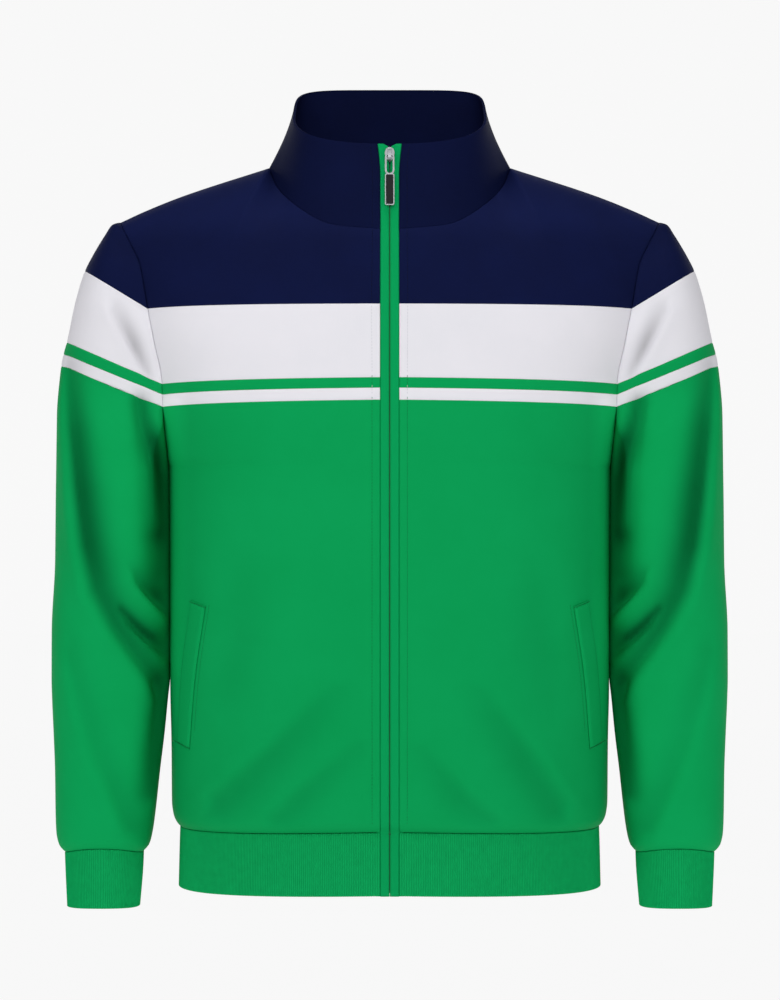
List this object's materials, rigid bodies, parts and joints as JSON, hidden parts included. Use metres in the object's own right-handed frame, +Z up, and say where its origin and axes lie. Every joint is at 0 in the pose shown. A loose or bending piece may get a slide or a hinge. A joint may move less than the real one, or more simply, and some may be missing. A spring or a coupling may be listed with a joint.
{
  "type": "track jacket",
  "caption": "Worn, zipped-up track jacket with stand collar, contrast yoke, chest bands, slanted welt pockets and ribbed cuffs and hem.",
  "frame": {"origin": "middle of the neck, on the line between the two neck points of the shoulder seams, where the wearer holds the jacket up", "axes": "+Z up to the collar, -Y to the front with the zip, +X to the wearer's left"},
  "size_m": [0.6512, 0.249, 0.7987],
  "materials": {
    "navy_tricot": "soft satin knit",
    "white_tricot": "soft satin knit",
    "green_tricot": "soft satin knit",
    "green_rib": "matte rib knit",
    "green_tape": "matte woven tape",
    "green_coil": "satin",
    "nickel": "polished",
    "black_enamel": "satin"
  },
  "bodies": {
    "jacket": {"front_yoke_L": "navy_tricot", "front_band_white_L": "white_tricot", "front_stripe_green_L": "green_tricot", "front_stripe_white_L": "white_tricot", "front_lower_L": "green_tricot", "front_yoke_R": "navy_tricot", "front_band_white_R": "white_tricot", "front_stripe_green_R": "green_tricot", "front_stripe_white_R": "white_tricot", "front_lower_R": "green_tricot", "back_yoke": "navy_tricot", "back_band_white": "white_tricot", "back_stripe_green": "green_tricot", "back_stripe_white": "white_tricot", "back_lower": "green_tricot", "hem_rib": "green_rib", "collar": "navy_tricot", "sleeve_cap_L": "navy_tricot", "sleeve_band_white_L": "white_tricot", "sleeve_stripe_green_L": "green_tricot", "sleeve_stripe_white_L": "white_tricot", "sleeve_lower_L": "green_tricot", "cuff_L": "green_rib", "sleeve_cap_R": "navy_tricot", "sleeve_band_white_R": "white_tricot", "sleeve_stripe_green_R": "green_tricot", "sleeve_stripe_white_R": "white_tricot", "sleeve_lower_R": "green_tricot", "cuff_R": "green_rib", "pocket_welt_L": "green_tricot", "zip_tape_L": "green_tape", "pocket_welt_R": "green_tricot", "zip_tape_R": "green_tape", "zip_coil": "green_coil", "zip_slider": "nickel"},
    "pull": {"zip_pull": "nickel", "zip_pull_plate": "black_enamel"}
  },
  "joints": [
    {"name": "pull_swing", "type": "hinge", "parent": "jacket", "child": "pull", "pos_m": [0, -0.09283, 0.00053], "axis": [-1, 0, 0], "range_deg": [0, 165]}
  ]
}
